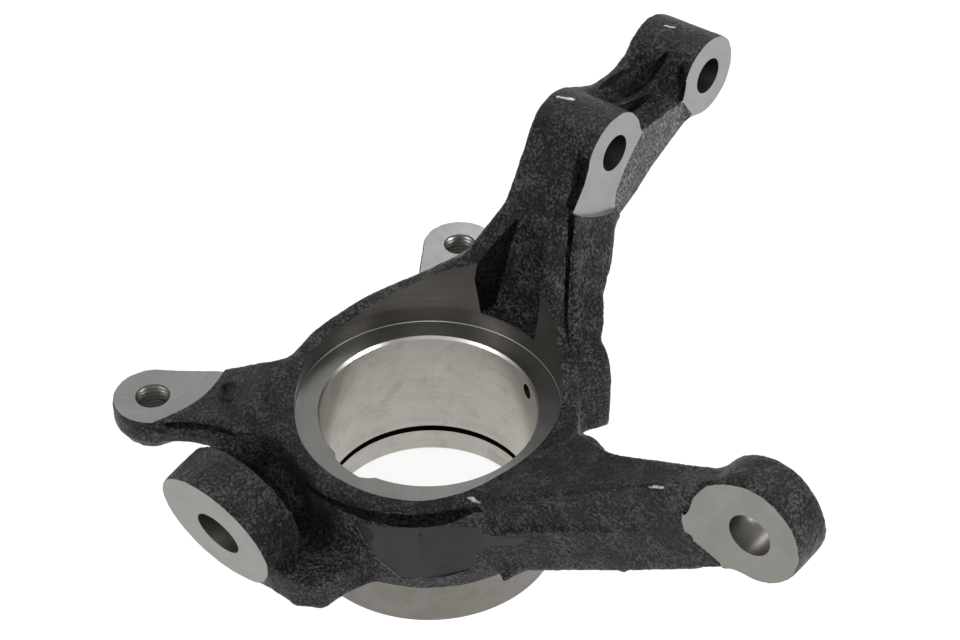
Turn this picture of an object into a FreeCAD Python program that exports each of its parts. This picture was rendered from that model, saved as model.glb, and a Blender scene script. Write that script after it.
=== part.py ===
import FreeCAD, Part
import Sketcher
import os

# Cast steering knuckle, one piece with machined faces. Millimetres.
# The origin lies on the bearing bore's axis, in the plane of the machined ring face.
# +X runs along the strut bolts, towards the steering arm. +Y points to the strut.
# +Z is the bore's axis, towards the side where the strut and the tie rod are fastened.

sizes = {
    # bearing bore and turned faces
    "boreRadius": 38.0,
    "ringWidth": 8.6,          # machined ring face around the bore
    "bossWall": 9.3,           # wall of the turned boss below the housing
    "bossFoot": -57.0,
    "bossStep": -38.0,
    "footFlare": 1.6,
    "snapTop": -44.0,          # upper side of the snap ring groove
    "snapWidth": 2.6,
    "snapReach": 2.0,
    "notchRadius": 9.0,        # scallop in the ring face
    "notchPlace": -33.8,
    "notchFloor": -4.0,
    # cast housing around the bore
    "housingWall": 14.2,
    "housingTaper": 2.2,
    "housingWaist": -31.0,
    # crest of the housing, seen along X
    "crestFront": 1.0,
    "crestFrontPlace": -38.0,
    "crestSide": 6.6,
    "crestSidePlace": -14.0,
    "crestBack": 8.3,
    "crestBackPlace": 10.0,
    # strut arm, seen along X
    "rampPlace": 24.0,
    "rampHeight": 13.8,
    "armFootPlace": 42.5,
    "armFootHeight": 26.5,
    "armShoulderPlace": 70.6,
    "armShoulderHeight": 75.0,
    "armBackPlace": 91.0,
    "armBackHeight": 38.0,
    "armHeelPlace": 54.5,
    "armHeelHeight": 8.0,
    "armHeelDrop": 22.0,
    "armBaseHeight": -26.0,
    # strut arm, seen along Y
    "armLeftTop": -12.6,
    "armLeftTopHeight": 50.0,
    "armLeftKnee": -22.0,
    "armLeftKneeHeight": 29.0,
    "armLeftHip": -33.0,
    "armLeftHipHeight": 18.5,
    "armLeftRoot": -52.0,
    "armRightTopHeight": 42.0,
    "armRightKnee": 25.3,
    "armRightKneeHeight": 20.0,
    "armRightRoot": 36.0,
    "armRightRootHeight": 10.0,
    # strut arm, seen along Z
    "armCheekX": -45.0,
    "armCheekY": 29.0,
    "armHipX": -33.0,
    "armHipY": 45.0,
    "armNapeY": 72.0,
    "armFlankX": 30.0,
    "armFlankY": 65.0,
    "armCollarY": 86.0,
    # strut bosses
    "strutFace": 14.5,         # machined plane of the two bosses
    "strutStock": 1.3,         # cast surface left proud of that plane
    "strutBack": -13.3,
    "strutBossRadius": 15.5,
    "strutBossDraft": 0.9,
    "strutHoleRadius": 6.8,
    "strutCutterRadius": 25.0,
    "strutLowY": 84.7,
    "strutLowZ": 68.4,
    "strutHighY": 141.4,
    "strutHighZ": 71.0,
    # web between the strut bosses
    "webSide": 13.2,
    "webRimSide": -11.0,
    "webStep": 4.0,
    "webTop": 69.8,
    "webRimTop": 75.5,
    "webBottomLow": 45.6,
    "webBottomLowPlace": 104.0,
    "webBottomHigh": 59.0,
    # pocket in the front of the arm
    "pocketFloor": 7.0,
    "pocketLeft": -15.5,
    "pocketRight": 12.3,
    "pocketShoulder": 27.0,
    "pocketTop": 49.0,
    "pocketTopLeft": -6.0,
    "pocketTopRight": 8.5,
    "pocketBack": 52.0,
    "pocketTopBack": 60.5,
    # steering arm, seen along Y
    "steerRoot": 36.0,
    "steerRootTop": 1.0,
    "steerTopInset": 12.6,     # end of the top edge, inward and upward from the tie rod hole
    "steerTopRise": 13.0,
    "steerEndInset": 1.6,      # end of the bottom edge, inward and downward from the tie rod hole
    "steerEndDrop": 16.9,
    "steerLowPlace": 104.0,
    "steerLowHeight": 5.0,
    "steerKneePlace": 72.0,
    "steerKneeHeight": -11.4,
    "steerRootBottom": -30.0,
    # steering arm, seen along Z
    "steerFrontRoot": -30.5,
    "steerFrontKnee": -25.0,
    "steerFrontKneePlace": 68.0,
    "steerWristInset": 23.6,   # where the arm turns parallel to the boss
    "steerBackEnd": -11.0,
    "steerBackMiddle": -2.0,
    "steerBackMiddlePlace": 82.0,
    "steerFlare": 13.5,
    "steerFlarePlace": 55.0,
    # tie rod boss
    "tieX": 142.6,
    "tieZ": 45.9,
    "tieFace": -20.0,
    "tieThick": 16.0,
    "tieBossRadius": 17.7,
    "tieHoleRadius": 7.3,
    "tieCutterRadius": 26.0,
    # ball joint boss
    "ballX": -25.5,
    "ballY": -80.0,
    "ballZ": -15.1,
    "ballTilt": 12.0,
    "ballBossRadius": 24.0,
    "ballBossX": -26.8,        # the boss is cast a little off its hole
    "ballBossZ": -14.4,
    "ballBossLength": 17.0,
    "ballHoleRadius": 9.1,
    # neck below the gap between ball joint boss and housing
    "neckTop": -26.0,
    "neckBottom": -36.5,
    "neckLeft": -43.0,
    "neckRight": -2.0,
    "neckRootLeft": -52.0,
    "neckRootRight": 16.0,
    "neckFront": -70.0,
    "neckRootPlace": -44.0,
    "ribRight": 12.0,
    "ribFront": -74.5,
    "ribTop": -24.0,
    # ears for the caliper
    "earFace": -1.4,
    "earThick": 10.0,
    "earRadius": 14.4,
    "earPadRadius": 12.0,
    "earPadHeight": 4.5,
    "earHoleRadius": 6.15,
    "earHalfWidth": 14.2,
    "earNeck": 11.3,           # half width of the neck on the side away from the other cast arm
    "earNeckPlace": 29.0,
    "earShoulderPlace": 22.0,
    "earReach": 48.0,
    "earLowFlare": 9.0,        # spread of the root, towards the ball joint
    "earHighFlare": 1.0,
    "earRampPlace": 15.0,
    "earRampEnd": 43.0,
    "earRootTop": 6.5,
    "earCutterRadius": 43.0,
    "earCutterX": -28.4,
    "earCutterY": 9.5,
    "earLowX": -80.1,
    "earLowY": -55.3,
    "earLowTurn": 38.0,
    "earHighX": -51.0,
    "earHighY": 79.1,
    "earHighTurn": -56.0,
    # sensor lug beside the arm
    "lugTurn": 60.0,
    "lugHalfWidth": 11.0,
    "lugReach": 65.5,
    "lugCrest": 60.0,
    "lugCrestHeight": 11.5,
    "lugTop": 1.0,
    "lugBottom": -21.5,
    "lugRoot": 44.0,
    "lugRootBottom": -22.0,
    "sensorRadius": 2.8,
    "sensorTurn": 63.0,
    "sensorHeight": -6.2,
    "holePass": 3.0,           # how far a drill passes the faces of a boss with a gap behind it
    "toolReach": 45.0,         # how far the cutting tools pass the casting
}

doc = FreeCAD.newDocument("SteeringKnuckle")
sheet = doc.addObject("Spreadsheet::Sheet", "Sizes")
for row, (word, number) in enumerate(sizes.items(), start=1):
    sheet.set("A%d" % row, word)
    sheet.set("B%d" % row, str(number))
    sheet.setAlias("B%d" % row, word)
doc.recompute()


def amount(text):
    """Number that a sum of size names stands for."""
    total = 0.0
    sign = 1.0
    for token in text.split():
        if token in "+-":
            sign = 1.0 if token == "+" else -1.0
        else:
            total += sign * (sizes[token] if token in sizes else float(token))
            sign = 1.0
    return total


def bound(text):
    """The same sum as an expression on the sheet."""
    return " ".join("Sizes." + token if token in sizes else token for token in text.split())


def outline(body, role, name, corners):
    """Closed sketch of straight edges, each corner held by its two distances from the origin."""
    sketch = body.newObject("Sketcher::SketchObject", name)
    plane = [item for item in body.Origin.OriginFeatures if item.Role == role][0]
    sketch.AttachmentSupport = [(plane, "")]
    sketch.MapMode = "FlatFace"
    points = [FreeCAD.Vector(amount(across), amount(up), 0) for across, up in corners]
    count = len(points)
    for i in range(count):
        sketch.addGeometry(Part.LineSegment(points[i], points[(i + 1) % count]), False)
    for i in range(count):
        sketch.addConstraint(Sketcher.Constraint("Coincident", i, 2, (i + 1) % count, 1))
    for i, pair in enumerate(corners):
        for kind, text in zip(("DistanceX", "DistanceY"), pair):
            index = sketch.addConstraint(Sketcher.Constraint(kind, i, 1, amount(text)))
            sketch.setExpression("Constraints[%d]" % index, bound(text))
    return sketch


def prism(name, role, corners, low, high):
    """Body padded between two levels of the plane's normal, which is minus Y for XZ_Plane."""
    body = doc.addObject("PartDesign::Body", name)
    sketch = outline(body, role, name + "Outline", corners)
    start = "-(%s)" % bound(high) if role == "XZ_Plane" else bound(low)
    sketch.setExpression("AttachmentOffset.Base.z", start)
    pad = body.newObject("PartDesign::Pad", name + "Pad")
    pad.Profile = sketch
    pad.setExpression("Length", "%s - (%s)" % (bound(high), bound(low)))
    doc.recompute()
    return body


def turned(name, corners):
    """Body revolved about the bore's axis from an outline of radii and heights."""
    body = doc.addObject("PartDesign::Body", name)
    sketch = outline(body, "XZ_Plane", name + "Outline", corners)
    turning = body.newObject("PartDesign::Revolution", name + "Revolution")
    turning.Profile = sketch
    turning.ReferenceAxis = (sketch, ["V_Axis"])
    turning.Angle = 360.0
    doc.recompute()
    return body


def join(kind, name, pieces):
    """Boolean of other objects: Part::Common, Part::Cut or Part::MultiFuse."""
    result = doc.addObject(kind, name)
    if kind == "Part::MultiFuse":
        result.Shapes = pieces
    else:
        result.Base, result.Tool = pieces
    doc.recompute()
    return result


def place(item, x, y, z, axis=(0, 0, 1), turn="0"):
    """Bound placement: a spot, and a turn in degrees about an axis."""
    rotation = FreeCAD.Rotation(FreeCAD.Vector(*axis), amount(turn))
    item.Placement = FreeCAD.Placement(FreeCAD.Vector(), rotation)
    for name, text in (("x", x), ("y", y), ("z", z)):
        item.setExpression("Placement.Base." + name, bound(text))
    if any(token in sizes for token in turn.split()):
        item.setExpression("Placement.Rotation.Angle", bound(turn))


def round_bar(name, radius, end_radius, length, x, y, z, axis, turn):
    """Cylinder or cone that starts at a spot and runs along the turned Z axis."""
    kind = "Part::Cylinder" if radius == end_radius else "Part::Cone"
    item = doc.addObject(kind, name)
    if kind == "Part::Cone":
        item.setExpression("Radius1", bound(radius))
        item.setExpression("Radius2", bound(end_radius))
    else:
        item.setExpression("Radius", bound(radius))
    item.setExpression("Height", bound(length))
    place(item, x, y, z, axis, turn)
    return item


def through_hole(name, radius, thickness, x, y, z, axis, turn):
    """Drill that passes both faces of a wall whose near face holds the spot."""
    drill = round_bar(name + "Drill", radius, radius, thickness + " + holePass + holePass",
                      "0", "0", "- holePass", *upright)
    hole = doc.addObject("Part::Compound", name)
    hole.Links = [drill]
    place(hole, x, y, z, axis, turn)
    return hole


along_x = ((0, 1, 0), "90")
along_y = ((1, 0, 0), "-90")
upright = ((0, 0, 1), "0")

# cast housing: a barrel whose crest falls towards the ball joint, and the turned boss below it
barrel = turned("Barrel", [
    ("0", "bossFoot"),
    ("boreRadius + bossWall", "bossFoot"),
    ("boreRadius + bossWall", "bossStep"),
    ("boreRadius + housingWall - housingTaper", "bossStep"),
    ("boreRadius + housingWall", "housingWaist"),
    ("boreRadius + housingWall", "crestBack"),
    ("0", "crestBack"),
])
above_crest = prism("AboveCrest", "YZ_Plane", [
    ("- boreRadius - toolReach", "crestFront"),
    ("crestFrontPlace", "crestFront"),
    ("crestSidePlace", "crestSide"),
    ("crestBackPlace", "crestBack"),
    ("boreRadius + toolReach", "crestBack"),
    ("boreRadius + toolReach", "crestBack + toolReach"),
    ("- boreRadius - toolReach", "crestBack + toolReach"),
], "- boreRadius - toolReach", "boreRadius + toolReach")
housing = join("Part::Cut", "Housing", [barrel, above_crest])

# strut arm: its side view crossed with its front view
arm_side = prism("ArmSide", "YZ_Plane", [
    ("crestBackPlace", "armBaseHeight"),
    ("crestBackPlace", "crestBack"),
    ("rampPlace", "rampHeight"),
    ("armFootPlace", "armFootHeight"),
    ("armShoulderPlace", "armShoulderHeight"),
    ("strutLowY", "armShoulderHeight"),
    ("armBackPlace", "armBackHeight"),
    ("armHeelPlace", "armHeelHeight"),
    ("armHeelPlace", "armHeelHeight - armHeelDrop"),
    ("boreRadius", "armBaseHeight"),
], "armLeftRoot - toolReach", "armRightRoot + toolReach")
arm_front = prism("ArmFront", "XZ_Plane", [
    ("armLeftTop", "armShoulderHeight + toolReach"),
    ("armLeftTop", "armLeftTopHeight"),
    ("armLeftKnee", "armLeftKneeHeight"),
    ("armLeftHip", "armLeftHipHeight"),
    ("armLeftRoot", "crestBack"),
    ("armLeftRoot", "armBaseHeight - toolReach"),
    ("armRightRoot", "armBaseHeight - toolReach"),
    ("armRightRoot", "armRightRootHeight"),
    ("armRightKnee", "armRightKneeHeight"),
    ("strutFace + strutStock", "armRightTopHeight"),
    ("strutFace + strutStock", "armShoulderHeight + toolReach"),
], "crestBackPlace - toolReach", "armBackPlace + toolReach")
arm_plan = prism("ArmPlan", "XY_Plane", [
    ("armLeftRoot", "crestBackPlace"),
    ("armCheekX", "armCheekY"),
    ("armHipX", "armHipY"),
    ("armLeftTop", "armNapeY"),
    ("armLeftTop", "armBackPlace + toolReach"),
    ("strutFace + strutStock", "armBackPlace + toolReach"),
    ("strutFace + strutStock", "armCollarY"),
    ("armFlankX", "armFlankY"),
    ("armRightRoot", "armFootPlace"),
    ("armRightRoot", "crestBackPlace"),
], "armBaseHeight - toolReach", "armShoulderHeight + toolReach")
arm_block = join("Part::Common", "ArmBlock", [arm_side, arm_front])
arm = join("Part::Common", "Arm", [arm_block, arm_plan])

# strut bosses, cast with draft, and the stepped web between them
strut_length = "strutFace - strutBack"
strut_back_radius = "strutBossRadius - strutBossDraft"
low_boss = round_bar("LowStrutBoss", strut_back_radius, "strutBossRadius", strut_length,
                     "strutBack", "strutLowY", "strutLowZ", *along_x)
high_boss = round_bar("HighStrutBoss", strut_back_radius, "strutBossRadius", strut_length,
                      "strutBack", "strutHighY", "strutHighZ", *along_x)
web = prism("Web", "YZ_Plane", [
    ("strutLowY", "armBackHeight"),
    ("armBackPlace", "armBackHeight"),
    ("webBottomLowPlace", "webBottomLow"),
    ("strutHighY", "webBottomHigh"),
    ("strutHighY", "webTop"),
    ("strutLowY", "webTop"),
], "webRimSide", "webSide")
web_rim = prism("WebRim", "YZ_Plane", [
    ("strutLowY", "armBackHeight"),
    ("webBottomLowPlace", "webBottomLow"),
    ("strutHighY", "webBottomHigh"),
    ("strutHighY", "webRimTop"),
    ("strutLowY", "webRimTop"),
], "webRimSide", "webRimSide + webStep")

# steering arm: front view crossed with top view, and the tie rod boss at its end
steer_front = prism("SteerFront", "XZ_Plane", [
    ("steerRoot", "steerRootBottom"),
    ("steerFlarePlace", "steerRootBottom"),
    ("steerKneePlace", "steerKneeHeight"),
    ("steerLowPlace", "steerLowHeight"),
    ("tieX - steerEndInset", "tieZ - steerEndDrop"),
    ("tieX - steerTopInset", "tieZ + steerTopRise"),
    ("steerRoot", "steerRootTop"),
], "steerFrontRoot - toolReach", "steerFlare + toolReach")
steer_top = prism("SteerTop", "XY_Plane", [
    ("boreRadius", "steerFrontRoot"),
    ("steerFrontKneePlace", "steerFrontKnee"),
    ("tieX - steerWristInset", "tieFace"),
    ("tieX", "tieFace"),
    ("tieX", "steerBackEnd"),
    ("tieX - steerWristInset", "steerBackEnd"),
    ("steerBackMiddlePlace", "steerBackMiddle"),
    ("steerFlarePlace", "steerFlare"),
    ("boreRadius", "boreRadius"),
], "steerRootBottom - toolReach", "tieZ + steerTopRise + toolReach")
steering_arm = join("Part::Common", "SteeringArm", [steer_front, steer_top])
tie_boss = round_bar("TieBoss", "tieBossRadius", "tieBossRadius", "tieThick",
                     "tieX", "tieFace", "tieZ", *along_y)

# ball joint boss, tilted about X, with its neck and a rib under the neck
ball_axis = ((1, 0, 0), "ballTilt - 90")
ball_boss = round_bar("BallBoss", "ballBossRadius", "ballBossRadius", "ballBossLength",
                      "ballBossX", "ballY", "ballBossZ", *ball_axis)
neck = prism("Neck", "XY_Plane", [
    ("neckLeft", "neckFront"),
    ("neckRight", "neckFront"),
    ("neckRight", "ballY + ballBossRadius"),
    ("neckRootRight", "neckRootPlace"),
    ("neckRootRight", "- boreRadius"),
    ("neckRootLeft", "- boreRadius + ringWidth"),
    ("neckLeft", "ballY + ballBossRadius"),
], "neckBottom", "neckTop")
rib = prism("Rib", "XY_Plane", [
    ("ballX", "ribFront"),
    ("ribRight - ringWidth", "ribFront"),
    ("ribRight", "neckFront"),
    ("neckRootRight", "neckRootPlace"),
    ("ballX", "neckRootPlace"),
], "neckBottom", "ribTop")

# ears: a lug that climbs to the housing, a round end and a pad below it


def ear(name, x, y, turn, flare, wide, narrow):
    """Ear in its own frame, with the hole at the origin and X towards the housing."""
    top_view = prism(name + "Plan", "XY_Plane", [
        ("0", wide + " earHalfWidth"),
        ("earShoulderPlace", wide + " earHalfWidth"),
        ("earReach", wide + " earHalfWidth " + wide + " " + flare),
        ("earReach", narrow + " earHalfWidth"),
        ("earNeckPlace", narrow + " earNeck"),
        ("earShoulderPlace", narrow + " earHalfWidth"),
        ("0", narrow + " earHalfWidth"),
    ], "earFace - earThick - toolReach", "earRootTop + toolReach")
    side_view = prism(name + "Side", "XZ_Plane", [
        ("0", "earFace - earThick"),
        ("earRampPlace", "earFace - earThick"),
        ("earReach", "earFace - earThick - earThick"),
        ("earReach", "earRootTop"),
        ("earRampEnd", "earRootTop"),
        ("earRampPlace", "earFace"),
        ("0", "earFace"),
    ], "- earHalfWidth - toolReach", "earHalfWidth + toolReach")
    bar = join("Part::Common", name + "Bar", [side_view, top_view])
    place(bar, x, y, "0", (0, 0, 1), turn)
    lug = join("Part::Cut", name + "Lug", [bar, above_crest])
    end = round_bar(name + "End", "earRadius", "earRadius", "earThick",
                    x, y, "earFace - earThick", *upright)
    pad = round_bar(name + "Pad", "earPadRadius", "earPadRadius", "earPadHeight",
                    x, y, "earFace - earThick - earPadHeight", *upright)
    return [lug, end, pad]


ears = ear("EarLow", "earLowX", "earLowY", "earLowTurn", "earLowFlare", "-", "+")
ears += ear("EarHigh", "earHighX", "earHighY", "earHighTurn", "earHighFlare", "+", "-")

# lug for the wheel speed sensor, on the radius of the sensor's hole
lug_side = prism("LugSide", "XZ_Plane", [
    ("lugRoot", "lugRootBottom"),
    ("lugReach", "lugBottom"),
    ("lugReach", "lugTop"),
    ("lugCrest", "lugCrestHeight"),
    ("lugRoot", "lugCrestHeight"),
], "- lugHalfWidth", "lugHalfWidth")
place(lug_side, "0", "0", "0", (0, 0, 1), "lugTurn")

casting = join("Part::MultiFuse", "Casting", [
    housing, arm, low_boss, high_boss, web, web_rim, steering_arm, tie_boss,
    ball_boss, neck, rib, lug_side] + ears)

# bearing bore with its recess, snap ring groove and flared foot
bore = turned("Bore", [
    ("0", "bossFoot - toolReach"),
    ("boreRadius + footFlare", "bossFoot - toolReach"),
    ("boreRadius + footFlare", "bossFoot"),
    ("boreRadius", "bossFoot + footFlare"),
    ("boreRadius", "snapTop - snapWidth"),
    ("boreRadius + snapReach", "snapTop - snapWidth"),
    ("boreRadius + snapReach", "snapTop"),
    ("boreRadius", "snapTop"),
    ("boreRadius", "0"),
    ("boreRadius + ringWidth", "0"),
    ("boreRadius + ringWidth", "armShoulderHeight + toolReach"),
    ("0", "armShoulderHeight + toolReach"),
])
notch = round_bar("Notch", "notchRadius", "notchRadius", "toolReach",
                  "0", "notchPlace", "notchFloor", *upright)

# pocket in the front of the arm: front view crossed with side view
pocket_front = prism("PocketFront", "XZ_Plane", [
    ("pocketLeft", "pocketFloor"),
    ("pocketRight", "pocketFloor"),
    ("pocketRight", "pocketShoulder"),
    ("pocketTopRight", "pocketTop"),
    ("pocketTopLeft", "pocketTop"),
    ("pocketLeft", "pocketShoulder"),
], "0", "pocketTopBack")
pocket_side = prism("PocketSide", "YZ_Plane", [
    ("0", "pocketFloor"),
    ("pocketBack", "pocketFloor"),
    ("pocketTopBack", "pocketTop"),
    ("0", "pocketTop"),
], "pocketLeft", "pocketRight")
pocket = join("Part::Common", "Pocket", [pocket_front, pocket_side])

# machined faces and holes
reach = "toolReach"
tools = [bore, notch, pocket]
for name, y, z in (("LowStrut", "strutLowY", "strutLowZ"), ("HighStrut", "strutHighY", "strutHighZ")):
    tools.append(round_bar(name + "Face", "strutCutterRadius", "strutCutterRadius", reach,
                           "strutFace", y, z, *along_x))
    tools.append(round_bar(name + "Hole", "strutHoleRadius", "strutHoleRadius",
                           "strutFace - strutBack + toolReach", "strutBack - toolReach", y, z, *along_x))
tools.append(round_bar("TieFace", "tieCutterRadius", "tieCutterRadius", reach,
                       "tieX", "tieFace - toolReach", "tieZ", *along_y))
tools.append(through_hole("TieHole", "tieHoleRadius", "tieThick", "tieX", "tieFace", "tieZ", *along_y))
tools.append(through_hole("BallHole", "ballHoleRadius", "ballBossLength",
                          "ballX", "ballY", "ballZ", *ball_axis))
for name, x, y in (("EarLow", "earLowX", "earLowY"), ("EarHigh", "earHighX", "earHighY")):
    tools.append(round_bar(name + "Face", "earCutterRadius", "earCutterRadius", reach,
                           x + " + earCutterX", y + " + earCutterY", "earFace", *upright))
    tools.append(round_bar(name + "Hole", "earHoleRadius", "earHoleRadius", "toolReach + toolReach",
                           x, y, "earFace - toolReach", *upright))
sensor_drill = round_bar("SensorDrill", "sensorRadius", "sensorRadius", "boreRadius + toolReach",
                         "0", "0", "sensorHeight", *along_x)
sensor_hole = doc.addObject("Part::Compound", "SensorHole")
sensor_hole.Links = [sensor_drill]
place(sensor_hole, "0", "0", "0", (0, 0, 1), "sensorTurn")
tools.append(sensor_hole)
machining = join("Part::MultiFuse", "Machining", tools)
knuckle = join("Part::Cut", "Knuckle", [casting, machining])
knuckle.Label = "knuckle"

doc.recompute()
for item in doc.Objects:
    for word in ("Invalid", "Error"):
        if word in item.State:
            raise RuntimeError("%s: %s" % (item.Name, item.State))
shape = knuckle.Shape
if shape.isNull() or not shape.isValid():
    raise RuntimeError("the knuckle has no valid shape")
print("solids", len(shape.Solids), "volume", round(shape.Volume), "box", shape.BoundBox)
print("centre", shape.CenterOfGravity)

os.makedirs("parts", exist_ok=True)
shape.exportStep("parts/knuckle.step")
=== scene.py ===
import math

import bpy
from mathutils import Matrix, Vector


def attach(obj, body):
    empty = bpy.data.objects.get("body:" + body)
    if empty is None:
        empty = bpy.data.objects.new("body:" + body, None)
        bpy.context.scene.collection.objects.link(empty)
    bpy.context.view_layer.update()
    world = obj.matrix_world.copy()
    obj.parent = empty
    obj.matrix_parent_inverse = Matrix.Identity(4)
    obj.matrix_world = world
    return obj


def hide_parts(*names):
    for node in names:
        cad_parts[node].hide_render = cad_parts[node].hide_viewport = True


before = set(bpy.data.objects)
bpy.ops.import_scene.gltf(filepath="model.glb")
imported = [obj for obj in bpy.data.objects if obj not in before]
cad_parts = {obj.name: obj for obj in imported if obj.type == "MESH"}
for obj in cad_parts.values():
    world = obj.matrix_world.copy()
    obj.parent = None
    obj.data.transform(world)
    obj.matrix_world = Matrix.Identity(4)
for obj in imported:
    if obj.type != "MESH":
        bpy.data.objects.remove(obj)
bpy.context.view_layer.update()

mm = 0.001  # every dictionary below is in millimetres

print("stage: frame loaded")


def pickOnly(piece):
    bpy.ops.object.select_all(action="DESELECT")
    piece.select_set(True)
    bpy.context.view_layer.objects.active = piece


def settle(piece):
    # place and turn go into the mesh, and the object stays at the origin
    pickOnly(piece)
    bpy.ops.object.transform_apply(location=True, rotation=True, scale=True)
    return piece


def applied(piece, kind, **settings):
    pickOnly(piece)
    bpy.ops.object.modifier_add(type=kind)
    modifier = piece.modifiers[-1]
    for setting, value in settings.items():
        setattr(modifier, setting, value)
    bpy.ops.object.modifier_apply(modifier=modifier.name)
    return piece


def outward(piece):
    pickOnly(piece)
    bpy.ops.object.mode_set(mode="EDIT")
    bpy.ops.mesh.select_all(action="SELECT")
    bpy.ops.mesh.normals_make_consistent(inside=False)
    bpy.ops.object.mode_set(mode="OBJECT")
    return piece


def joined(name, pieces):
    bpy.ops.object.select_all(action="DESELECT")
    for piece in pieces:
        piece.select_set(True)
    bpy.context.view_layer.objects.active = pieces[0]
    bpy.ops.object.join()
    pieces[0].name = name
    return pieces[0]


# across, up and depth directions of the three drawing planes
planes = {"XY": ((1, 0, 0), (0, 1, 0), (0, 0, 1)),
          "XZ": ((1, 0, 0), (0, 0, 1), (0, 1, 0)),
          "YZ": ((0, 1, 0), (0, 0, 1), (1, 0, 0))}


def prism(name, plane, corners, low, high):
    # an outline pulled straight from one depth to another
    across, up, deep = (Vector(way) for way in planes[plane])
    bpy.ops.object.select_all(action="DESELECT")
    bpy.ops.mesh.primitive_circle_add(vertices=len(corners), radius=mm, fill_type="NGON")
    piece = bpy.context.object
    piece.name = name
    for vertex, (a, b) in zip(piece.data.vertices, corners):
        vertex.co = (across * a + up * b + deep * low) * mm
    bpy.ops.object.mode_set(mode="EDIT")
    bpy.ops.mesh.select_all(action="SELECT")
    bpy.ops.mesh.extrude_region_move(TRANSFORM_OT_translate={"value": deep * (high - low) * mm})
    bpy.ops.object.mode_set(mode="OBJECT")
    return outward(piece)


def facetted(name, corners):
    # flat-sided block through a few corners, for drafted walls that no prism gives
    bpy.ops.object.select_all(action="DESELECT")
    bpy.ops.mesh.primitive_circle_add(vertices=len(corners), radius=mm, fill_type="NOTHING")
    piece = bpy.context.object
    piece.name = name
    for vertex, corner in zip(piece.data.vertices, corners):
        vertex.co = Vector(corner) * mm
    bpy.ops.object.mode_set(mode="EDIT")
    bpy.ops.mesh.select_all(action="SELECT")
    bpy.ops.mesh.convex_hull()
    bpy.ops.object.mode_set(mode="OBJECT")
    return outward(piece)


def rod(name, start, way, radius, length, endRadius=None, sides=96):
    # cylinder or cone that starts at a point and runs one way
    way = Vector(way).normalized()
    bpy.ops.object.select_all(action="DESELECT")
    bpy.ops.mesh.primitive_cone_add(
        vertices=sides, radius1=radius * mm, radius2=(radius if endRadius is None else endRadius) * mm,
        depth=length * mm, location=Vector(start) * mm + way * length * mm / 2,
        rotation=way.to_track_quat("Z", "Y").to_euler())
    piece = bpy.context.object
    piece.name = name
    return settle(piece)


def turned(name, profile, sides=256, place=(0, 0)):
    # rings of radius and height pulled up one after another round an upright axis
    radius, height = profile[0]
    bpy.ops.object.select_all(action="DESELECT")
    bpy.ops.mesh.primitive_circle_add(vertices=sides, radius=radius * mm, fill_type="NGON",
                                      location=(0, 0, height * mm))
    piece = bpy.context.object
    piece.name = name
    settle(piece)
    bpy.ops.object.mode_set(mode="EDIT")
    bpy.ops.mesh.select_all(action="SELECT")
    for nextRadius, nextHeight in profile[1:]:
        bpy.ops.mesh.extrude_region_move(
            TRANSFORM_OT_translate={"value": (0, 0, (nextHeight - height) * mm)})
        grow = nextRadius / radius
        bpy.ops.transform.resize(value=(grow, grow, 1), center_override=(0, 0, nextHeight * mm))
        radius, height = nextRadius, nextHeight
    bpy.ops.object.mode_set(mode="OBJECT")
    piece.location = (place[0] * mm, place[1] * mm, 0)
    return outward(settle(piece))


def strand(name, points):
    # round strand through points of x, y, z and radius, for narrow grooves and raised seams
    line = bpy.data.curves.new(name, "CURVE")
    line.dimensions = "3D"
    line.bevel_depth = mm
    line.bevel_resolution = 3
    line.use_fill_caps = True
    spline = line.splines.new("NURBS")
    spline.points.add(len(points) - 1)
    for point, (x, y, z, radius) in zip(spline.points, points):
        point.co = (x * mm, y * mm, z * mm, 1)
        point.radius = radius
    spline.order_u = 3
    spline.use_endpoint_u = True
    piece = bpy.data.objects.new(name, line)
    bpy.context.collection.objects.link(piece)
    pickOnly(piece)
    bpy.ops.object.convert(target="MESH")
    bpy.ops.object.mode_set(mode="EDIT")
    bpy.ops.mesh.select_all(action="SELECT")
    bpy.ops.mesh.remove_doubles(threshold=0.002 * mm)  # joins the caps to the strand
    bpy.ops.object.mode_set(mode="OBJECT")
    return outward(bpy.context.object)


def fused(piece, size):
    # one skin round everything that overlaps
    return applied(piece, "REMESH", mode="VOXEL", voxel_size=size * mm, adaptivity=0)


def swollen(piece, distance):
    return applied(piece, "DISPLACE", strength=distance * mm, mid_level=0)


def carved(piece, tool, keepFinish=True, operation="DIFFERENCE"):
    # every tool is closed, as the Manifold solver needs
    applied(piece, "BOOLEAN", object=tool, operation=operation, solver="MANIFOLD",
            material_mode="TRANSFER" if keepFinish else "INDEX")
    bpy.data.objects.remove(tool)
    return piece


def roughened(piece, size, depth, detail=1):
    # uneven sand-cast skin, as real relief of the mesh
    noise = bpy.data.textures.new("skin%d" % round(size * 10), "CLOUDS")
    noise.noise_scale = size * mm
    noise.noise_depth = detail
    return applied(piece, "DISPLACE", texture=noise, texture_coords="LOCAL",
                   strength=depth * mm, mid_level=0.5)


def tint(code, alpha=1.0):
    # sRGB hex to linear light
    parts = [int(code[i:i + 2], 16) / 255 for i in (1, 3, 5)]
    return tuple(p / 12.92 if p <= 0.04045 else ((p + 0.055) / 1.055) ** 2.4 for p in parts) + (alpha,)


def addNode(tree, kind, sockets=None, **settings):
    node = tree.nodes.new(kind)
    for setting, value in settings.items():
        setattr(node, setting, value)
    for socket, value in (sockets or {}).items():
        if isinstance(value, bpy.types.NodeSocket):
            tree.links.new(value, node.inputs[socket])
        else:
            node.inputs[socket].default_value = value
    return node


def newMaterial(name):
    material = bpy.data.materials.new(name)
    material.use_nodes = True
    material.node_tree.nodes.clear()
    return material, material.node_tree


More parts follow.
